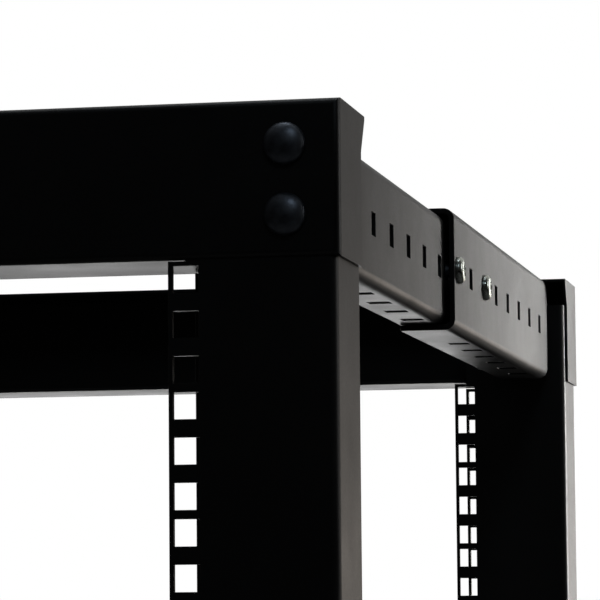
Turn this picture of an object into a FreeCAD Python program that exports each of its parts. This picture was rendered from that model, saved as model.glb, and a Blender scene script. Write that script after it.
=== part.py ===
"""Four post open frame rack, 12U, with telescoping side rails.

Frame: millimetres, +Z up, +X to the right, the front looks towards -Y.
The origin lies on the floor, below the middle of the frame.
Four perforated C posts stand at the corners. A header channel crosses them at the front and
at the back, at the top and at the bottom. Each side has a top and a bottom rail, made of a
front channel that slides in a rear sleeve. The screws and nuts are small hardware and aren't
modelled. The rails and the mounting columns have their square punched holes.
"""
import FreeCAD, Part
import math
import os

V = FreeCAD.Vector

# Overall sizes
RACK_UNITS = 12              # number of rack units between the headers
UNIT = 44.45                 # height of one rack unit
OPENING_WIDTH = 452.6        # clear width between the left and the right posts
FRAME_DEPTH = 720.0          # front face of the front posts to back face of the rear posts
FOOT_RISE = 30.0             # floor to the underside of the bottom headers
UNIT_MARGIN = 0.4            # between a header and the rack unit next to it
CUT = 1.0                    # how far a cutting tool runs past the surface it opens

# Posts
POST_SHEET = 2.5
POST_FLANGE = 60.7           # width of the perforated flange, seen from the front
POST_DEPTH = 45.0
POST_BEND = 3.0              # outer bend radius
POST_WEB_DROP = 14.0         # the web and the rear flange start this far below the rack's top
COLUMN_INSET = 6.25          # flange's inner edge to the middle of its column of holes
MOUNT_HOLE = 9.5             # side of a square mounting hole
HOLES_PER_UNIT = 3
FIRST_HOLE = 6.35            # lower edge of a rack unit to its first hole
HOLE_STEP = 15.875           # between the holes of one rack unit

# Headers
HEADER_HEIGHT = 55.8
HEADER_SHEET = 1.5
HEADER_BEND = 2.5
HEADER_REACH = 50.0          # outer face to the tip of the two flanges
FLANGE_END_GAP = 55.0        # the inner flange stops this far inside the posts' outer sides
TAB_REACH = 42.5             # depth of the side tabs below their slanting shoulder
TAB_SHOULDER = 14.0          # height over which a tab narrows to TAB_REACH
END_GAP = 5.0                # between the end of a post and the header's outer flange
NOTCH_GAP = 0.4              # between a post's notch and the header's inner flange

# Side rails
RAIL_SHEET = 2.5
RAIL_BEND = 5.0
SLEEVE_HEIGHT = 54.8
SLEEVE_WIDTH = 25.0
SLEEVE_INSET = 8.5           # the sleeve's outer side lies this far inside the post's
RAIL_DROP = 27.5             # rack top to the middle of a top rail
SLIDE_GAP = 0.25             # between the sleeve's flanges and the sliding channel's
WEB_GAP = 2.3                # between the two webs
INNER_WIDTH = 20.5
SLEEVE_FRONT = 332.0         # frame's front face to the front end of the sleeve
OVERLAP = 118.0              # length of sliding channel inside the sleeve
RAIL_PITCH = 42.2            # between the holes of a rail
FIRST_CHANNEL_HOLE = 108.3   # frame's front face to the sliding channel's first hole
FIRST_SLEEVE_HOLE = 8.7      # sleeve's front end to its first hole
JOINT_HOLES = (0, 2)         # holes of the sleeve that hold the screws of the joint
FIRST_CHANNEL_FLANGE_HOLE = 95.5   # frame's front face to the first hole of its flange
FIRST_SLEEVE_FLANGE_HOLE = 80.3    # sleeve's front end to the first hole of its flange
FLANGE_HOLE_INSET = 10.5     # web's outer side to the middle of the flange's holes
HOLE_EDGE = 3.5              # least metal between a rail hole and an end
END_CUTBACK = 8.0            # the rail's flanges stop this far from the post
END_TAB = 30.0               # width of the bent end that is screwed to the post

# Square holes in the rails and for their screws
RAIL_HOLE = 9.5              # side of a free hole
SCREW_HOLE = 8.5             # side of a hole that holds a screw
END_SCREW_SPREAD = 18.0      # between the two screws at a rail's end

# Levelling feet
FOOT_INSET_X = 30.0          # post's outer side to the stud
FOOT_INSET_Y = 24.0          # post's face to the stud
PAD_FLATS = 40.0             # across the flats of the hexagonal pad
PAD_RIM = 8.0                # height of the wide part
PAD_NECK_FLATS = 24.0
PAD_HEIGHT = 14.0
STUD_FLATS = 17.0            # across the flats of the stud's hexagon and of its lock nut

# Derived places
FRAME_HEIGHT = RACK_UNITS * UNIT + 2 * (HEADER_HEIGHT + UNIT_MARGIN)
TOP = FOOT_RISE + FRAME_HEIGHT
MIDDLE = FOOT_RISE + FRAME_HEIGHT / 2
SIDE = OPENING_WIDTH / 2 + POST_FLANGE     # outer side of the right posts
FRONT = -FRAME_DEPTH / 2                   # front face of the front posts
POST_BACK = FRONT + POST_DEPTH
COLUMN_X = OPENING_WIDTH / 2 + COLUMN_INSET
FLANGE_END = SIDE - FLANGE_END_GAP         # end of the header's inner flange
UNITS_BASE = FOOT_RISE + HEADER_HEIGHT + UNIT_MARGIN
SLEEVE_SIDE = SIDE - SLEEVE_INSET
INNER_SIDE = SLEEVE_SIDE - RAIL_SHEET - WEB_GAP
INNER_HEIGHT = SLEEVE_HEIGHT - 2 * RAIL_SHEET - 2 * SLIDE_GAP
RAIL_Z = TOP - RAIL_DROP
SLEEVE_START = FRONT + SLEEVE_FRONT
INNER_END = SLEEVE_START + OVERLAP


def box(x0, x1, y0, y1, z0, z1):
    """A box between two corners."""
    return Part.makeBox(x1 - x0, y1 - y0, z1 - z0, V(x0, y0, z0))


def without(solid, tools):
    """The solid with all the tools cut out of it."""
    return solid.cut(Part.makeCompound(tools))


def flipped_x(shape):
    return shape.mirror(V(0, 0, 0), V(1, 0, 0))


def flipped_y(shape):
    return shape.mirror(V(0, 0, 0), V(0, 1, 0))


def flipped_z(shape):
    """The same shape at the other end of the frame's height."""
    return shape.mirror(V(0, 0, MIDDLE), V(0, 0, 1))


def arc_between(start, centre, end):
    """The short arc from start to end round centre."""
    radius = (start - centre).Length
    towards = (start + end) / 2 - centre
    return Part.Arc(start, centre + towards.normalize() * radius, end).toShape()


def channel(flange, web, sheet, bend, length):
    """C channel along Z: the web's outer side on X = 0, the flanges towards +X, Y from 0."""
    inner = bend - sheet
    low = V(bend, bend, 0)
    high = V(bend, web - bend, 0)
    edges = [
        Part.makeLine(V(flange, 0, 0), V(bend, 0, 0)),
        arc_between(V(bend, 0, 0), low, V(0, bend, 0)),
        Part.makeLine(V(0, bend, 0), V(0, web - bend, 0)),
        arc_between(V(0, web - bend, 0), high, V(bend, web, 0)),
        Part.makeLine(V(bend, web, 0), V(flange, web, 0)),
        Part.makeLine(V(flange, web, 0), V(flange, web - sheet, 0)),
        Part.makeLine(V(flange, web - sheet, 0), V(bend, web - sheet, 0)),
        arc_between(V(bend, web - sheet, 0), high, V(bend - inner, web - bend, 0)),
        Part.makeLine(V(sheet, web - bend, 0), V(sheet, bend, 0)),
        arc_between(V(sheet, bend, 0), low, V(bend, sheet, 0)),
        Part.makeLine(V(bend, sheet, 0), V(flange, sheet, 0)),
        Part.makeLine(V(flange, sheet, 0), V(flange, 0, 0)),
    ]
    return Part.Face(Part.Wire(edges)).extrude(V(0, 0, length))


def hole_heights():
    """Centres of the mounting holes, from the lowest to the highest."""
    return [UNITS_BASE + unit * UNIT + FIRST_HOLE + hole * HOLE_STEP
            for unit in range(RACK_UNITS) for hole in range(HOLES_PER_UNIT)]


def end_screw_heights():
    """Screw heights at the end of one top rail."""
    return [RAIL_Z - END_SCREW_SPREAD / 2, RAIL_Z + END_SCREW_SPREAD / 2]


def both_ends(heights):
    """The heights and their mirror images at the bottom of the frame."""
    return heights + [2 * MIDDLE - height for height in heights]


def end_screw_x():
    return SLEEVE_SIDE - END_TAB / 2


def screw_hole(x, z, y0, y1):
    """Tool for a square hole through a sheet that lies between y0 and y1."""
    half = SCREW_HOLE / 2
    return box(x - half, x + half, y0 - CUT, y1 + CUT, z - half, z + half)


def front_right_post():
    bottom = FOOT_RISE + HEADER_SHEET + END_GAP
    top = TOP - HEADER_SHEET - END_GAP
    post = channel(POST_FLANGE, POST_DEPTH, POST_SHEET, POST_BEND, top - bottom)
    post = flipped_x(post)
    post.translate(V(SIDE, FRONT, bottom))
    inside = SIDE - POST_FLANGE - CUT
    outside = SIDE + CUT
    back = POST_BACK + CUT
    web_top = TOP - POST_WEB_DROP
    notch_x = FLANGE_END + 2 * NOTCH_GAP
    notch_z = TOP - HEADER_HEIGHT - NOTCH_GAP
    top_cuts = [
        box(inside, outside, FRONT + POST_BEND, back, web_top, TOP),
        box(SIDE - POST_BEND, outside, FRONT - CUT, back, web_top, TOP),
        box(inside, notch_x, FRONT - CUT, back, notch_z, TOP),
    ]
    tools = top_cuts + [flipped_z(tool) for tool in top_cuts]
    half = MOUNT_HOLE / 2
    for z in hole_heights():
        tools.append(box(COLUMN_X - half, COLUMN_X + half, FRONT - CUT, back, z - half, z + half))
    for z in both_ends(end_screw_heights()):
        tools.append(screw_hole(end_screw_x(), z, POST_BACK - POST_SHEET, POST_BACK))
    return without(post, tools)


def header_shell():
    """Shallow tray that opens to the back, with the four edges of its face bent round."""
    side = SIDE + HEADER_SHEET
    face = FRONT - HEADER_SHEET
    low = TOP - HEADER_HEIGHT
    block = box(-side, side, face, face + HEADER_REACH, low, TOP)
    bends = [edge for edge in block.Edges
             if all(abs(vertex.Y - face) < CUT for vertex in edge.Vertexes)]
    hollow = box(-SIDE, SIDE, FRONT, face + HEADER_REACH + CUT, low + HEADER_SHEET, TOP - HEADER_SHEET)
    return block.makeFillet(HEADER_BEND, bends).cut(hollow)


def tab_outline_cut():
    """What is taken off the back of the side tabs, as one prism across the frame."""
    tip = FRONT - HEADER_SHEET + HEADER_REACH
    tab = FRONT - HEADER_SHEET + TAB_REACH
    low = TOP - HEADER_HEIGHT - CUT
    start = -SIDE - HEADER_SHEET - CUT
    corners = [
        V(start, tip + CUT, TOP - HEADER_SHEET),
        V(start, tip, TOP - HEADER_SHEET),
        V(start, tab, TOP - TAB_SHOULDER),
        V(start, tab, low),
        V(start, tip + CUT, low),
    ]
    outline = Part.Face(Part.makePolygon(corners + corners[:1]))
    return outline.extrude(V(-2 * start, 0, 0))


def top_front_header():
    inner_flange_z = TOP - HEADER_HEIGHT + HEADER_BEND
    back = FRONT - HEADER_SHEET + HEADER_REACH + CUT
    middle = box(-FLANGE_END, FLANGE_END, FRONT, back, TOP - HEADER_HEIGHT - 2 * CUT, TOP)
    tools = [tab_outline_cut().cut(middle)]
    for x0, x1 in ((-SIDE, -FLANGE_END), (FLANGE_END, SIDE)):
        tools.append(box(x0, x1, FRONT, back, TOP - HEADER_HEIGHT - CUT, inner_flange_z))
    return without(header_shell(), tools)


def rail_section(side, height, width, y0, y1):
    """Straight part of a right-hand rail, open towards the middle of the rack."""
    rail = channel(width, height, RAIL_SHEET, RAIL_BEND, y1 - y0)
    rail.rotate(V(0, 0, 0), V(1, 0, 0), 90)
    rail = flipped_x(rail)
    rail.translate(V(side, y1, RAIL_Z - height / 2))
    return rail


def rail_end(side, height, y_free, y_post):
    """Flat strip of the web that runs on to the post and turns inwards on its flange."""
    turn = math.copysign(1.0, y_post - y_free)
    sheet = RAIL_SHEET
    tip = SLEEVE_SIDE - END_TAB
    bend = RAIL_BEND
    inner = bend - sheet
    centre = V(side - bend, y_post - turn * bend, 0)
    edges = [
        Part.makeLine(V(side, y_free, 0), V(side, centre.y, 0)),
        arc_between(V(side, centre.y, 0), centre, V(centre.x, y_post, 0)),
        Part.makeLine(V(centre.x, y_post, 0), V(tip, y_post, 0)),
        Part.makeLine(V(tip, y_post, 0), V(tip, y_post - turn * sheet, 0)),
        Part.makeLine(V(tip, y_post - turn * sheet, 0), V(centre.x, y_post - turn * sheet, 0)),
        arc_between(V(centre.x, y_post - turn * sheet, 0), centre, V(centre.x + inner, centre.y, 0)),
        Part.makeLine(V(side - sheet, centre.y, 0), V(side - sheet, y_free, 0)),
        Part.makeLine(V(side - sheet, y_free, 0), V(side, y_free, 0)),
    ]
    strip = height - 2 * RAIL_BEND
    end = Part.Face(Part.Wire(edges)).extrude(V(0, 0, strip))
    end.translate(V(0, 0, RAIL_Z - strip / 2))
    sheet_y = sorted((y_post, y_post - turn * sheet))
    holes = [screw_hole(end_screw_x(), z, *sheet_y) for z in end_screw_heights()]
    return without(end, holes)


def rail_hole_places(first, y0, y1):
    """Places of a row of holes from its first one on that lie whole between y0 and y1."""
    margin = RAIL_HOLE / 2 + HOLE_EDGE
    count = int(FRAME_DEPTH / RAIL_PITCH)
    places = [first + index * RAIL_PITCH for index in range(count)]
    return [y for y in places if y0 + margin <= y <= y1 - margin]


def joint_places():
    """The two screws that join the sleeve and the sliding channel."""
    first = SLEEVE_START + FIRST_SLEEVE_HOLE
    return [first + index * RAIL_PITCH for index in JOINT_HOLES]


def web_hole(side, y, size):
    """Tool for a square hole in the middle of a rail's web."""
    half = size / 2
    return box(side - RAIL_SHEET - CUT, side + CUT, y - half, y + half, RAIL_Z - half, RAIL_Z + half)


def rail_holes(side, height, web_places, flange_places):
    """Tools for the holes of the web, with those of the joint, and of the lower flange."""
    joints = joint_places()
    half = RAIL_HOLE / 2
    flange_x = side - FLANGE_HOLE_INSET
    flange_z = RAIL_Z - height / 2
    tools = [web_hole(side, y, RAIL_HOLE) for y in web_places if y not in joints]
    tools += [web_hole(side, y, SCREW_HOLE) for y in joints]
    tools += [box(flange_x - half, flange_x + half, y - half, y + half,
                  flange_z - CUT, flange_z + RAIL_SHEET + CUT) for y in flange_places]
    return tools


def right_top_front_rail():
    """The channel that slides in the sleeve, fixed to the front post."""
    y_flange = POST_BACK + END_CUTBACK
    rail = rail_section(INNER_SIDE, INNER_HEIGHT, INNER_WIDTH, y_flange, INNER_END)
    rail = rail.fuse(rail_end(INNER_SIDE, INNER_HEIGHT, y_flange, POST_BACK)).removeSplitter()
    web = rail_hole_places(FRONT + FIRST_CHANNEL_HOLE, POST_BACK + END_TAB, INNER_END)
    flange = rail_hole_places(FRONT + FIRST_CHANNEL_FLANGE_HOLE, y_flange, INNER_END)
    return without(rail, rail_holes(INNER_SIDE, INNER_HEIGHT, web, flange))


def right_top_rear_rail():
    """The sleeve, fixed to the rear post."""
    y_post = -POST_BACK
    y_flange = y_post - END_CUTBACK
    rail = rail_section(SLEEVE_SIDE, SLEEVE_HEIGHT, SLEEVE_WIDTH, SLEEVE_START, y_flange)
    rail = rail.fuse(rail_end(SLEEVE_SIDE, SLEEVE_HEIGHT, y_flange, y_post)).removeSplitter()
    web = rail_hole_places(SLEEVE_START + FIRST_SLEEVE_HOLE, SLEEVE_START, y_post - RAIL_BEND)
    flange = rail_hole_places(SLEEVE_START + FIRST_SLEEVE_FLANGE_HOLE, SLEEVE_START, y_flange)
    return without(rail, rail_holes(SLEEVE_SIDE, SLEEVE_HEIGHT, web, flange))


def foot_x():
    return SIDE - FOOT_INSET_X


def foot_y():
    return FRONT + FOOT_INSET_Y


def hexagonal_prism(flats, z, height):
    """Hexagonal prism round the foot's axis."""
    radius = flats / 2 / math.cos(math.radians(30))
    corners = [V(foot_x() + radius * math.cos(math.radians(60 * turn)),
                 foot_y() + radius * math.sin(math.radians(60 * turn)), z) for turn in range(7)]
    return Part.Face(Part.makePolygon(corners)).extrude(V(0, 0, height))


def front_right_foot_pad():
    rim = hexagonal_prism(PAD_FLATS, 0, PAD_RIM)
    neck = hexagonal_prism(PAD_NECK_FLATS, PAD_RIM, PAD_HEIGHT - PAD_RIM)
    return rim.fuse(neck)


def front_right_foot_stud():
    """The stud's hexagon, screwed up to the lock nut of the same size below the header."""
    return hexagonal_prism(STUD_FLATS, PAD_HEIGHT, FOOT_RISE - PAD_HEIGHT)


def save(name, shape):
    shape.exportStep("parts/" + name + ".step")


def save_corners(pattern, shape):
    """The front right shape and its three mirror images."""
    left = flipped_x(shape)
    save(pattern.format("front_right"), shape)
    save(pattern.format("front_left"), left)
    save(pattern.format("rear_right"), flipped_y(shape))
    save(pattern.format("rear_left"), flipped_y(left))


def save_sides(pattern, shape):
    """The top right shape and its mirror images at the left and at the bottom."""
    for level, at_level in (("top", shape), ("bottom", flipped_z(shape))):
        save(pattern.format("right_" + level), at_level)
        save(pattern.format("left_" + level), flipped_x(at_level))


os.makedirs("parts", exist_ok=True)
save_corners("{}_post", front_right_post())
for level, header in (("top", top_front_header()), ("bottom", flipped_z(top_front_header()))):
    save(level + "_front_header", header)
    save(level + "_rear_header", flipped_y(header))
save_sides("{}_front_rail", right_top_front_rail())
save_sides("{}_rear_rail", right_top_rear_rail())
save_corners("{}_foot_pad", front_right_foot_pad())
save_corners("{}_foot_stud", front_right_foot_stud())
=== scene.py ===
"""Four post open frame rack: screws, nuts, finishes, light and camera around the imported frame."""
import math
import random
import bpy
from mathutils import Matrix, Vector


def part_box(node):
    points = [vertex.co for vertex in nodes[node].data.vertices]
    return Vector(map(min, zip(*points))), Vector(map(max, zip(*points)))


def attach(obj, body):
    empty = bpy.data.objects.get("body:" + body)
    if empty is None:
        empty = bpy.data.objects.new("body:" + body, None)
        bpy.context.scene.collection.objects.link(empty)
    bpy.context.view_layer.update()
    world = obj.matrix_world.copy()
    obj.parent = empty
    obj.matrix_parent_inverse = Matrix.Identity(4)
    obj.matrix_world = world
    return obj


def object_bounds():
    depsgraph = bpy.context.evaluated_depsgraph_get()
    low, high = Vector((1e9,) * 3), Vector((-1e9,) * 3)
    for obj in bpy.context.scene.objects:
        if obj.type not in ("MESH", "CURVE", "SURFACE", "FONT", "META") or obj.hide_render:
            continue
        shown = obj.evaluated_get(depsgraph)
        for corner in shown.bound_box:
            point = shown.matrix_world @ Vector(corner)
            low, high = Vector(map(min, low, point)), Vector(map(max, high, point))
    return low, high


# Blender's own start objects go first, or they would count in the CAD box
for name in ("Cube", "Light", "Camera"):
    if name in bpy.data.objects:
        bpy.data.objects.remove(bpy.data.objects[name])

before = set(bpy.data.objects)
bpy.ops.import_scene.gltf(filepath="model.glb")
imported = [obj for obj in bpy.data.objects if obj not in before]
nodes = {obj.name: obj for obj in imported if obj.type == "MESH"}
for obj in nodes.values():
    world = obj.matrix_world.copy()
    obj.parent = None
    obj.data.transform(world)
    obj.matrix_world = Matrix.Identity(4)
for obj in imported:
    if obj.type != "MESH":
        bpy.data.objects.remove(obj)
CAD_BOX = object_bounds()

MM = 0.001
rng = random.Random(19)

# ---------------------------------------------------------------- measures from the frame
FACE_Y, TOP = CAD_BOX[1].y, CAD_BOX[1].z
header_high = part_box("top_front_header")[1]
bottom_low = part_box("bottom_front_header")[0]
post_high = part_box("front_right_post")[1]
sleeve_low, sleeve_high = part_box("right_top_rear_rail")

HEADER_SHEET = 1.5 * MM
POST_SHEET = 2.5 * MM
RAIL_SHEET = 2.5 * MM
WEB_GAP = 2.3 * MM                            # between the webs of the two rail channels
HEADER_SCREW_X = post_high.x - 18.2 * MM
HEADER_SCREW_DROPS = (15.9 * MM, 40.8 * MM)   # below the header's top
RAIL_SCREW_X = sleeve_high.x - 15.0 * MM
RAIL_SCREW_LIFTS = (-9.0 * MM, 9.0 * MM)      # from the middle of the rail
RAIL_Z = (sleeve_low.z + sleeve_high.z) / 2
MIDDLE_Z = (header_high.z + bottom_low.z) / 2
JOINT_SCREW_Y = (-19.3 * MM, 65.1 * MM)

# Screws and nuts
M8, M8_PITCH = 8 * MM, 1.25 * MM
M6, M6_PITCH = 6 * MM, 1.0 * MM
M8_LENGTH, M6_LENGTH = 16 * MM, 13 * MM
DOME_HEAD, DOME_RISE = 15.2 * MM, 4.4 * MM
PAN_HEAD, PAN_RISE = 12.2 * MM, 3.4 * MM
HEADER_GRIP, RAIL_GRIP = 4.5 * MM, 5.5 * MM   # plain shank under the head
M8_FLATS, M8_NUT_HEIGHT, M8_BORE = 13 * MM, 6.5 * MM, 7.4 * MM
M6_FLATS, M6_NUT_HEIGHT, M6_BORE = 10 * MM, 5 * MM, 5.5 * MM
THREAD_DEPTH = 0.6                            # share of the pitch
SHARP_ABOVE = math.radians(32)                # steeper edges of the hardware stay sharp


# ---------------------------------------------------------------- node helpers
def new_material(name):
    """A node material with its tree and its Principled shader."""
    mat = bpy.data.materials.new(name)
    mat.use_nodes = True
    tree = mat.node_tree
    return mat, tree, tree.nodes["Principled BSDF"]


def node(tree, kind, inputs=None, **settings):
    """Adds a node. inputs maps a socket's name or index to a value or to another socket."""
    made = tree.nodes.new(kind)
    for key, value in settings.items():
        setattr(made, key, value)
    for key, value in (inputs or {}).items():
        socket = made.inputs[key]
        if isinstance(value, bpy.types.NodeSocket):
            tree.links.new(value, socket)
        else:
            socket.default_value = value
    return made


def noise(tree, where, scale, detail=2.0, rough=0.5):
    """Noise of about scale features to a metre."""
    inputs = {"Vector": where, "Scale": scale, "Detail": detail, "Roughness": rough}
    return node(tree, "ShaderNodeTexNoise", inputs).outputs["Fac"]


def spread(tree, value, from_low, from_high, to_low, to_high, **settings):
    """Maps a range of a value onto another range."""
    inputs = {"Value": value, "From Min": from_low, "From Max": from_high,
              "To Min": to_low, "To Max": to_high}
    return node(tree, "ShaderNodeMapRange", inputs, **settings).outputs["Result"]


def ramp(tree, value, from_low, from_high, to_low, to_high):
    """Like spread, with soft ends."""
    return spread(tree, value, from_low, from_high, to_low, to_high,
                  interpolation_type="SMOOTHSTEP")


def math_node(tree, operation, a, b=0.0):
    return node(tree, "ShaderNodeMath", {0: a, 1: b}, operation=operation).outputs[0]


def blend(tree, factor, a, b):
    """Colour a towards colour b by a factor."""
    made = node(tree, "ShaderNodeMix", {"Factor": factor}, data_type="RGBA")
    for socket, value in ((made.inputs[6], a), (made.inputs[7], b)):
        if isinstance(value, bpy.types.NodeSocket):
            tree.links.new(value, socket)
        else:
            socket.default_value = (*value, 1.0)
    return made.outputs[2]


def bump(tree, height, strength, distance, normal=None):
    inputs = {"Height": height, "Strength": strength, "Distance": distance}
    if normal is not None:
        inputs["Normal"] = normal
    return node(tree, "ShaderNodeBump", inputs).outputs["Normal"]


def edge_mask(tree, radius):
    """One where a surface lies within radius of an edge, else zero."""
    rounded = node(tree, "ShaderNodeBevel", {"Radius": radius}, samples=4).outputs["Normal"]
    flat = node(tree, "ShaderNodeNewGeometry").outputs["Normal"]
    dot = node(tree, "ShaderNodeVectorMath", {0: rounded, 1: flat}, operation="DOT_PRODUCT")
    return spread(tree, dot.outputs["Value"], 0.98, 0.80, 0.0, 1.0)


# ---------------------------------------------------------------- finishes
# The first grey is the painted edge highlight of the powder coat, the second is dust
EDGE_HIGHLIGHT_GREY, DUST = (0.09, 0.088, 0.085), (0.22, 0.21, 0.20)
COAT_IOR = 1.5
OXIDE_DARK, OXIDE_LIGHT = (0.10, 0.11, 0.13), (0.17, 0.185, 0.21)
WORN_OXIDE = (0.16, 0.16, 0.165)
DULL_ZINC = (0.32, 0.33, 0.31)
NYLON, SCUFFED_NYLON = (0.020, 0.020, 0.021), (0.060, 0.058, 0.056)


def scaled(tint, share):
    return tuple(share * c for c in tint)


def powder_coat(name, base, rough):
    """Semi-gloss black powder coat: fine texture, orange peel, a painted edge highlight in patches
    and a little dust.
    """
    mat, tree, shader = new_material(name)
    where = node(tree, "ShaderNodeTexCoord").outputs["Object"]
    grain = noise(tree, where, 1500.0, 2.0, 0.6)
    peel = noise(tree, where, 420.0, 1.0)
    cloud = noise(tree, where, 24.0, 4.0, 0.6)
    edges = edge_mask(tree, 0.9 * MM)
    # Painted edge highlight: in patches near the edges, the coat's colour is lifted towards a light
    # grey, standing in for light caught on the edges
    wear_and_highlight_patches = spread(tree, noise(tree, where, 60.0, 3.0), 0.52, 0.68, 0.0, 0.55)
    edge_wear_and_highlight = math_node(tree, "MULTIPLY", edges, wear_and_highlight_patches)
    normal = node(tree, "ShaderNodeNewGeometry").outputs["Normal"]
    up = node(tree, "ShaderNodeSeparateXYZ", {0: normal}).outputs["Z"]
    flat_top = spread(tree, up, 0.7, 1.0, 0.0, 1.0)
    settled = spread(tree, noise(tree, where, 40.0, 4.0, 0.65), 0.35, 0.75, 0.02, 0.22)
    dust = math_node(tree, "MULTIPLY", flat_top, settled)
    speck = spread(tree, grain, 0.35, 0.75, 0.0, 1.0)
    paint = blend(tree, speck, scaled(base, 0.7), scaled(base, 1.35))
    # Painted edge highlight: light grey along the edges
    paint = blend(tree, edge_wear_and_highlight, paint, EDGE_HIGHLIGHT_GREY)
    paint = blend(tree, dust, paint, DUST)
    tree.links.new(paint, shader.inputs["Base Color"])
    shine = math_node(tree, "ADD", spread(tree, cloud, 0.3, 0.7, rough - 0.04, rough + 0.05),
                      spread(tree, grain, 0.3, 0.8, -0.03, 0.05))
    shine = math_node(tree, "ADD", shine, math_node(tree, "MULTIPLY", dust, 0.8))
    tree.links.new(shine, shader.inputs["Roughness"])
    relief = bump(tree, peel, 0.05, 0.15 * MM)
    relief = bump(tree, grain, 0.10, 0.06 * MM, relief)
    tree.links.new(relief, shader.inputs["Normal"])
    shader.inputs["IOR"].default_value = COAT_IOR
    return mat


def black_steel():
    """Black oxide screws, with a faint blue sheen and worn edges."""
    mat, tree, shader = new_material("black_screw_finish")
    where = node(tree, "ShaderNodeTexCoord").outputs["Object"]
    grain = noise(tree, where, 2200.0, 2.0, 0.6)
    patch = noise(tree, where, 260.0, 3.0)
    edges = edge_mask(tree, 0.35 * MM)
    wear_and_highlight_patches = spread(tree, noise(tree, where, 500.0, 2.0), 0.45, 0.7, 0.0, 0.8)
    edge_wear_and_highlight = math_node(tree, "MULTIPLY", edges, wear_and_highlight_patches)
    paint = blend(tree, spread(tree, patch, 0.3, 0.7, 0.0, 1.0), OXIDE_DARK, OXIDE_LIGHT)
    paint = blend(tree, edge_wear_and_highlight, paint, WORN_OXIDE)
    tree.links.new(paint, shader.inputs["Base Color"])
    tree.links.new(spread(tree, patch, 0.3, 0.7, 0.36, 0.48), shader.inputs["Roughness"])
    tree.links.new(bump(tree, grain, 0.35, 0.06 * MM), shader.inputs["Normal"])
    shader.inputs["Metallic"].default_value = 0.9
    return mat


def zinc(name, tint, rough):
    """Bright zinc plating, with cloudy patches, dull edges and a fine texture."""
    mat, tree, shader = new_material(name)
    where = node(tree, "ShaderNodeTexCoord").outputs["Object"]
    patch = noise(tree, where, 320.0, 4.0, 0.6)
    fine = noise(tree, where, 2600.0, 2.0)
    dull = math_node(tree, "MULTIPLY", edge_mask(tree, 0.3 * MM), 0.4)
    cloudy = spread(tree, patch, 0.3, 0.7, 0.0, 1.0)
    paint = blend(tree, cloudy, tint, scaled(tint, 0.72))
    paint = blend(tree, dull, paint, DULL_ZINC)
    tree.links.new(paint, shader.inputs["Base Color"])
    shine = spread(tree, patch, 0.3, 0.7, rough - 0.06, rough + 0.1)
    tree.links.new(shine, shader.inputs["Roughness"])
    tree.links.new(bump(tree, fine, 0.2, 0.04 * MM), shader.inputs["Normal"])
    shader.inputs["Metallic"].default_value = 1.0
    return mat


def moulded_plastic():
    """Black moulded nylon with a fine spark texture."""
    mat, tree, shader = new_material("foot_plastic_finish")
    where = node(tree, "ShaderNodeTexCoord").outputs["Object"]
    spark = noise(tree, where, 1800.0, 3.0, 0.7)
    scuff = noise(tree, where, 120.0, 4.0, 0.6)
    paint = blend(tree, spread(tree, scuff, 0.45, 0.8, 0.0, 0.5), NYLON, SCUFFED_NYLON)
    tree.links.new(paint, shader.inputs["Base Color"])
    tree.links.new(spread(tree, scuff, 0.3, 0.7, 0.50, 0.66), shader.inputs["Roughness"])
    tree.links.new(bump(tree, spark, 0.35, 0.08 * MM), shader.inputs["Normal"])
    return mat


POST_COAT = powder_coat("post_coat_finish", (0.0080, 0.0080, 0.0082), 0.42)
HEADER_COAT = powder_coat("header_coat_finish", (0.0075, 0.0075, 0.0078), 0.40)
RAIL_COAT = powder_coat("rail_coat_finish", (0.0080, 0.0080, 0.0080), 0.38)
BLACK = black_steel()
ZINC = zinc("zinc_screw_finish", (0.66, 0.70, 0.64), 0.24)
STUD_ZINC = zinc("stud_zinc_finish", (0.62, 0.62, 0.60), 0.34)
PLASTIC = moulded_plastic()

# By the last word of a node's name: its finish and the width of its broken edges
FINISHES = {
    "post": (POST_COAT, 0.28 * MM),
    "header": (HEADER_COAT, 0.25 * MM),
    "rail": (RAIL_COAT, 0.28 * MM),
    "stud": (STUD_ZINC, 0.3 * MM),
    "pad": (PLASTIC, 1.0 * MM),
}


def soften(obj, width):
    """Broken edges: a small bevel, with shading that keeps the flats flat."""
    weld = obj.modifiers.new("join_edges", "WELD")
    weld.merge_threshold = 0.01 * MM
    edge = obj.modifiers.new("broken_edges", "BEVEL")
    edge.width = width
    edge.segments = 2
    edge.limit_method = "ANGLE"
    edge.angle_limit = math.radians(40)
    edge.miter_outer = "MITER_ARC"
    edge.harden_normals = False
    shade = obj.modifiers.new("flat_faces", "WEIGHTED_NORMAL")
    shade.keep_sharp = False
    shade.weight = 100


for name, obj in nodes.items():
    finish, width = FINISHES[name.rsplit("_", 1)[1]]
    obj.data.materials.clear()
    obj.data.materials.append(finish)
    soften(obj, width)


# ---------------------------------------------------------------- turned and hexagonal hardware
def hexagon(flats):
    """Radius of a regular hexagon for an angle, by its size across the flats."""
    half = math.pi / 6
    return lambda angle: flats / 2 / math.cos(angle % (2 * half) - half)


def cross(length, width):
    """Radius of a cross recess for an angle."""
    def radius(angle):
        turn = (angle + math.pi / 4) % (math.pi / 2) - math.pi / 4
        if abs(math.tan(turn)) <= width / length:
            return length / 2 / math.cos(turn)
        return width / 2 / abs(math.sin(turn))
    return radius


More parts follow.
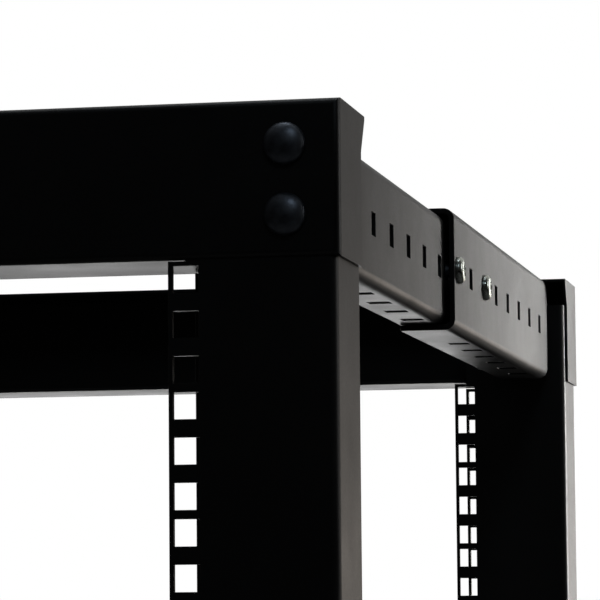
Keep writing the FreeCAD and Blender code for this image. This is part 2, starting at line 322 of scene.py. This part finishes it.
def turned(name, rings, angles, closed=False):
    """Mesh round Z from rings of (height, radius). A radius may be a function of the angle."""
    points = []
    for height, radius in rings:
        for angle in angles:
            r = radius(angle) if callable(radius) else radius
            points.append((r * math.cos(angle), r * math.sin(angle), height))
    count = len(angles)
    faces = []
    total = len(rings)
    for ring in range(total if closed else total - 1):
        a = ring * count
        b = (ring + 1) % total * count
        for i in range(count):
            j = (i + 1) % count
            faces.append((a + i, a + j, b + j, b + i))
    if not closed:
        faces.append(tuple(reversed(range(count))))
        faces.append(tuple(range((total - 1) * count, total * count)))
    mesh = bpy.data.meshes.new(name)
    mesh.from_pydata(points, [], faces)
    mesh.polygons.foreach_set("use_smooth", [True] * len(mesh.polygons))
    mesh.set_sharp_from_angle(angle=SHARP_ABOVE)
    mesh.update()
    return mesh


def even(count):
    """Angles in equal steps round the axis."""
    return [2 * math.pi * i / count for i in range(count)]


def thread(radius, pitch, start, end):
    """Rings of a thread's crests and roots between two heights, going up."""
    root = radius - THREAD_DEPTH * pitch
    rings = []
    for turn in range(max(1, int((end - start) / pitch))):
        z = start + turn * pitch
        rings += [(z, root), (z + 0.45 * pitch, radius), (z + 0.55 * pitch, radius)]
    rings.append((end, root))
    return rings


def shank_rings(size, grip, length, pitch):
    """Rings of a screw from its tip, over its thread and plain grip, up to its seat on Z = 0."""
    shank = size / 2
    rings = [(-length, shank - THREAD_DEPTH * pitch)]
    rings += thread(shank, pitch, -length + 0.4 * MM, -grip)
    return rings + [(-grip + 0.2 * MM, shank), (0.0, shank)]


def dome_bolt(name, size, head, height, grip, length, pitch):
    """Smooth low dome head bolt: its seat on Z = 0, its head towards +Z."""
    r = head / 2
    rim = 0.5 * MM                            # height of the head's upright side
    steps = 13
    rings = shank_rings(size, grip, length, pitch)
    rings += [(0.0, r - 0.35 * MM), (0.22 * MM, r), (rim, r)]
    for step in range(1, steps):
        a = step / steps * math.pi / 2
        rings.append((rim + (height - rim) * math.sin(a), r * math.cos(a)))
    rings.append((height, 0.3 * MM))
    return turned(name, rings, even(60))


def pan_screw(name, size, head, height, grip, length, pitch):
    """Pan head screw with a cross recess: its seat on Z = 0, its head towards +Z."""
    quarter = [0.0, 8.0, 16.0, 24.0, 34.0, 45.0, 56.0, 66.0, 74.0, 82.0]
    angles = [math.radians(90 * q + a) for q in range(4) for a in quarter]
    wide, narrow = 1.7 * MM, 1.3 * MM         # arms of the recess near its mouth and its floor
    r = head / 2
    rim = 1.1 * MM                            # height of the head's upright side
    flat = head * 0.26                        # radius of the head's flat top
    steps = 10
    rings = shank_rings(size, grip, length, pitch)
    rings += [(0.0, r - 0.25 * MM), (0.2 * MM, r), (rim, r)]
    for step in range(1, steps + 1):
        a = step / steps * math.pi / 2
        rings.append((rim + (height - rim) * math.sin(a), flat + (r - flat) * math.cos(a)))
    rings += [(height, cross(head * 0.50, wide * 1.15)),
              (height - 0.2 * MM, cross(head * 0.46, wide)),
              (height - 1.6 * MM, cross(head * 0.32, narrow)),
              (height - 2.0 * MM, 0.5 * MM)]
    return turned(name, rings, angles)


def hex_nut(name, flats, height, bore, pitch):
    """Hexagon nut with chamfered corners and a threaded bore: its seat on Z = 0."""
    outline = hexagon(flats)
    face = flats / 2 * 0.96
    mouth = bore / 2 * 1.06
    slope = 0.55                              # of the chamfer
    rises = [step * 1.2 * MM for step in (0.25, 0.5, 0.75, 1.0)]

    def chamfered(limit):
        return lambda angle: min(outline(angle), limit)

    outside = [(0.0, face)]
    outside += [(rise, chamfered(face + rise / slope)) for rise in rises]
    outside += [(height - rise, chamfered(face + rise / slope)) for rise in reversed(rises)]
    outside.append((height, face))
    inside = [(height, mouth)]
    inside += reversed(thread(bore / 2, pitch, 0.5 * MM, height - 0.5 * MM))
    inside.append((0.0, mouth))
    return turned(name, outside + inside, even(72), closed=True)


M8_SCREW = dome_bolt("m8_dome_bolt", M8, DOME_HEAD, DOME_RISE, HEADER_GRIP, M8_LENGTH, M8_PITCH)
M8_NUT = hex_nut("m8_nut", M8_FLATS, M8_NUT_HEIGHT, M8_BORE, M8_PITCH)
M8_LONG = dome_bolt("m8_dome_bolt_rail", M8, DOME_HEAD, DOME_RISE, RAIL_GRIP, M8_LENGTH, M8_PITCH)
M6_PAN = pan_screw("m6_pan_screw", M6, PAN_HEAD, PAN_RISE, RAIL_GRIP, M6_LENGTH, M6_PITCH)
M6_NUT = hex_nut("m6_nut", M6_FLATS, M6_NUT_HEIGHT, M6_BORE, M6_PITCH)

for mesh in (M8_SCREW, M8_NUT, M8_LONG):
    mesh.materials.append(BLACK)
for mesh in (M6_PAN, M6_NUT):
    mesh.materials.append(ZINC)

# The pan screw's shank is black
M6_PAN.materials.append(BLACK)
for face in M6_PAN.polygons:
    if face.center.z < 0:
        face.material_index = 1


# ---------------------------------------------------------------- screws and nuts in their places
def place(name, mesh, where, outwards, spin):
    """A piece at a place, its own Z turned outwards, riding on the frame."""
    obj = bpy.data.objects.new(name, mesh)
    bpy.context.scene.collection.objects.link(obj)
    turn = Vector((0, 0, 1)).rotation_difference(Vector(outwards)).to_matrix().to_4x4()
    obj.matrix_world = Matrix.Translation(Vector(where)) @ turn @ Matrix.Rotation(spin, 4, "Z")
    bpy.context.view_layer.update()
    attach(obj, "root")


def at_level(level, z):
    """A height in the top of the frame, or its mirror image in the bottom."""
    return 2 * MIDDLE_Z - z if level == "bottom" else z


def hex_spin():
    """A chance turn within one flat of a hexagon."""
    return rng.uniform(0, math.pi / 3)


SIDES = (("right", 1), ("left", -1))
LEVELS = ("top", "bottom")

for end, ys in (("front", -1), ("rear", 1)):
    face_y = ys * FACE_Y
    header_nut_y = face_y - ys * (HEADER_SHEET + POST_SHEET)
    tab_y = ys * (-post_high.y - RAIL_SHEET)
    rail_nut_y = tab_y + ys * (RAIL_SHEET + POST_SHEET)
    for side, xs in SIDES:
        for level in LEVELS:
            for index, drop in enumerate(HEADER_SCREW_DROPS, 1):
                x, z = xs * HEADER_SCREW_X, at_level(level, header_high.z - drop)
                label = f"{level}_{end}_{side}_{index}"
                place(f"header_screw_{label}", M8_SCREW, (x, face_y, z), (0, ys, 0),
                      hex_spin())
                place(f"header_nut_{label}", M8_NUT, (x, header_nut_y, z), (0, -ys, 0),
                      hex_spin())
            for index, lift in enumerate(RAIL_SCREW_LIFTS, 1):
                x, z = xs * RAIL_SCREW_X, at_level(level, RAIL_Z + lift)
                label = f"{level}_{end}_{side}_{index}"
                place(f"rail_end_screw_{label}", M8_LONG, (x, tab_y, z), (0, -ys, 0),
                      hex_spin())
                place(f"rail_end_nut_{label}", M8_NUT, (x, rail_nut_y, z), (0, ys, 0),
                      hex_spin())

joint_nut_x = sleeve_high.x - 2 * RAIL_SHEET - WEB_GAP
for side, xs in SIDES:
    for level in LEVELS:
        z = at_level(level, RAIL_Z)
        for index, y in enumerate(JOINT_SCREW_Y, 1):
            label = f"{side}_{level}_{index}"
            place(f"joint_screw_{label}", M6_PAN, (xs * sleeve_high.x, y, z), (xs, 0, 0),
                  rng.uniform(0, math.pi / 2))
            place(f"joint_nut_{label}", M6_NUT, (xs * joint_nut_x, y, z), (-xs, 0, 0),
                  hex_spin())


# ---------------------------------------------------------------- floor and backdrop
WHITE, DARK, WARM = (1.0, 1.0, 1.0), (0.0, 0.0, 0.0), (1.0, 0.90, 0.80)

# The floor. Distances are in metres from the rack's middle, towards the back where they are a
# glow's, and turns are in degrees to the right of straight back.
FLOOR_HALF = 14.0
FLOOR_TONE = (0.80, 0.84)
FLOOR_TINT = (1.0, 0.995, 0.985)
FLOOR_BOUNCE = 0.15          # share of the floor's tone that the rack sees
FLOOR_LIFT = 0.62            # glow that only the camera sees, so that the floor is near white
SWEEP = (0.7, 2.4)           # where the floor goes over into the lit backdrop
LEFT_GLOW, LEFT_FROM, LEFT_TURN, LEFT_REST = 2.3, (1.6, 3.2), (-3.0, 4.0), 0.1
RIGHT_GLOW, RIGHT_FROM, RIGHT_TURN = 1.6, (4.0, 8.0), (8.5, 13.0)

# The world. Heights run from 0 for level to 1 for straight up.
BACK_GLOW = 0.20
LOW_GLOW, LOW_BAND = 0.7, (0.02, 0.08)
HIGH_GLOW, HIGH_FROM = 0.45, (0.14, 0.34)
FRONT_TURN, FRONT_REST = (50.0, 95.0), 0.04
WORLD_TINT = (1.0, 0.985, 0.965)


def camera_ray(tree):
    """One for what the camera sees, zero for what the rack and the stage see of each other."""
    return node(tree, "ShaderNodeLightPath").outputs["Is Camera Ray"]


def turn_ramp(tree, turn, degrees, to_low, to_high):
    """Ramp over a range of turns round the vertical, given in degrees."""
    return ramp(tree, turn, *(math.radians(d) for d in degrees), to_low, to_high)


def floor():
    """White sweep: a plain floor round the rack that goes over into the lit backdrop."""
    size = FLOOR_HALF
    corners = [(-size, -size, 0), (size, -size, 0), (size, size, 0), (-size, size, 0)]
    mesh = bpy.data.meshes.new("floor")
    mesh.from_pydata(corners, [], [(0, 1, 2, 3)])
    obj = bpy.data.objects.new("floor", mesh)
    bpy.context.scene.collection.objects.link(obj)
    mat, tree, shader = new_material("floor_finish")
    where = node(tree, "ShaderNodeTexCoord").outputs["Object"]
    ray = camera_ray(tree)
    cloud = spread(tree, noise(tree, where, 3.0, 3.0), 0.3, 0.7, *FLOOR_TONE)
    tone = math_node(tree, "MULTIPLY", cloud, spread(tree, ray, 0.0, 1.0, FLOOR_BOUNCE, 1.0))
    tree.links.new(blend(tree, tone, DARK, FLOOR_TINT), shader.inputs["Base Color"])
    shader.inputs["Roughness"].default_value = 0.7
    away = node(tree, "ShaderNodeVectorMath", {0: where}, operation="LENGTH").outputs["Value"]
    parts = node(tree, "ShaderNodeSeparateXYZ", {0: where})
    back = parts.outputs[1]
    turn = math_node(tree, "ARCTAN2", parts.outputs[0], back)
    right = turn_ramp(tree, turn, RIGHT_TURN, 0.0, 1.0)
    near = math_node(tree, "MULTIPLY", ramp(tree, back, *LEFT_FROM, 0.0, LEFT_GLOW),
                     turn_ramp(tree, turn, LEFT_TURN, 1.0, LEFT_REST))
    far = math_node(tree, "MULTIPLY", ramp(tree, back, *RIGHT_FROM, 0.0, RIGHT_GLOW), right)
    glow = math_node(tree, "ADD", near, far)
    glow = node(tree, "ShaderNodeMix", {0: ray, 2: glow, 3: 1.0}, data_type="FLOAT").outputs[0]
    unseen = math_node(tree, "SUBTRACT", 1.0, ray)
    tint = blend(tree, math_node(tree, "MULTIPLY", right, unseen), WHITE, WARM)
    sweep = node(tree, "ShaderNodeEmission", {"Color": tint, "Strength": glow})
    lift = node(tree, "ShaderNodeEmission",
                {"Color": (*WHITE, 1.0), "Strength": math_node(tree, "MULTIPLY", ray, FLOOR_LIFT)})
    plain = node(tree, "ShaderNodeAddShader", {0: shader.outputs[0], 1: lift.outputs[0]})
    both = node(tree, "ShaderNodeMixShader",
                {0: ramp(tree, away, *SWEEP, 0.0, 1.0), 1: plain.outputs[0], 2: sweep.outputs[0]})
    tree.links.new(both.outputs[0], tree.nodes["Material Output"].inputs["Surface"])
    mesh.materials.append(mat)


def studio_world():
    """Backdrop: lit behind the rack, dark beside and before it, white where the camera sees it."""
    world = bpy.data.worlds.new("studio")
    bpy.context.scene.world = world
    world.use_nodes = True
    tree = world.node_tree
    tree.nodes.clear()
    where = node(tree, "ShaderNodeTexCoord").outputs["Generated"]
    parts = node(tree, "ShaderNodeSeparateXYZ", {0: where})
    height = parts.outputs[2]
    turn = math_node(tree, "ARCTAN2", parts.outputs[0], parts.outputs[1])
    turn = math_node(tree, "ABSOLUTE", turn)
    front = turn_ramp(tree, turn, FRONT_TURN, 1.0, FRONT_REST)
    low = ramp(tree, height, *LOW_BAND, 1.0, 0.0)
    light = math_node(tree, "ADD", ramp(tree, height, *HIGH_FROM, BACK_GLOW, HIGH_GLOW),
                      math_node(tree, "MULTIPLY", low, LOW_GLOW - BACK_GLOW))
    light = math_node(tree, "MULTIPLY", light, front)
    tint = blend(tree, low, WORLD_TINT, WARM)
    seen = node(tree, "ShaderNodeBackground", {"Color": (*WHITE, 1.0), "Strength": 1.0})
    lit = node(tree, "ShaderNodeBackground", {"Color": tint, "Strength": light})
    both = node(tree, "ShaderNodeMixShader",
                {0: camera_ray(tree), 1: lit.outputs[0], 2: seen.outputs[0]})
    node(tree, "ShaderNodeOutputWorld", {"Surface": both.outputs[0]})


# ---------------------------------------------------------------- camera and lights
CAMERA_X, CAMERA_Y = 0.49832, -1.49526
CAMERA_DROP = 0.17774        # below the rack's top
CAMERA_YAW, CAMERA_PITCH, CAMERA_ROLL = 11.196, 5.272, -0.5023
LENS, SENSOR = 199.9, 36.0
CLIP = (0.05, 60.0)

# Name, place, target, width and height, watts, colour, and beam in degrees
LIGHTS = (
    ("soft_top", (0.0, -0.05, 2.7), (0.0, -0.05, 0.0),
     (1.4, 1.0), 2.0, (0.88, 0.94, 1.0), 180.0),
    ("key_top", (0.15, -0.1, 2.6), (0.28, -0.1, 0.6),
     (0.3, 0.3), 1.6, (0.80, 0.90, 1.0), 180.0),
    ("front_high", (0.9, -2.0, 2.3), (0.2, -0.36, 0.6),
     (0.6, 0.6), 3.0, (0.75, 0.88, 1.0), 180.0),
    ("side_soft", (2.3, 0.25, 1.3), (0.287, 0.1, 0.5),
     (0.7, 0.9), 5.0, WHITE, 180.0),
    ("rear_soft", (0.75, 0.84, 0.6), (0.287, 0.44, 0.55),
     (0.2, 0.8), 1.15, (1.0, 0.99, 0.975), 46.0),
)


def camera():
    """The camera of the product view: low, in front of the right side, looking slightly up."""
    data = bpy.data.cameras.new("camera")
    data.sensor_width = SENSOR
    data.lens = LENS
    data.clip_start, data.clip_end = CLIP
    obj = bpy.data.objects.new("camera", data)
    bpy.context.scene.collection.objects.link(obj)
    yaw, pitch, roll = (math.radians(a) for a in (CAMERA_YAW, CAMERA_PITCH, CAMERA_ROLL))
    place_at = Matrix.Translation((CAMERA_X, CAMERA_Y, TOP - CAMERA_DROP))
    turn = Matrix.Rotation(yaw, 4, "Z") @ Matrix.Rotation(math.pi / 2 + pitch, 4, "X")
    obj.matrix_world = place_at @ turn @ Matrix.Rotation(roll, 4, "Z")
    bpy.context.scene.camera = obj


def area_light(name, where, target, size, power, tint, beam):
    """Rectangular light at a place, turned to a target."""
    data = bpy.data.lights.new(name, "AREA")
    data.shape = "RECTANGLE"
    data.size, data.size_y = size
    data.energy = power
    data.color = tint
    data.spread = math.radians(beam)
    obj = bpy.data.objects.new(name, data)
    bpy.context.scene.collection.objects.link(obj)
    obj.location = where
    obj.rotation_euler = (Vector(target) - Vector(where)).to_track_quat("-Z", "Y").to_euler()


floor()
studio_world()
camera()
for light in LIGHTS:
    area_light(*light)

scene = bpy.context.scene
scene.view_settings.view_transform = "Standard"
scene.view_settings.look = "None"
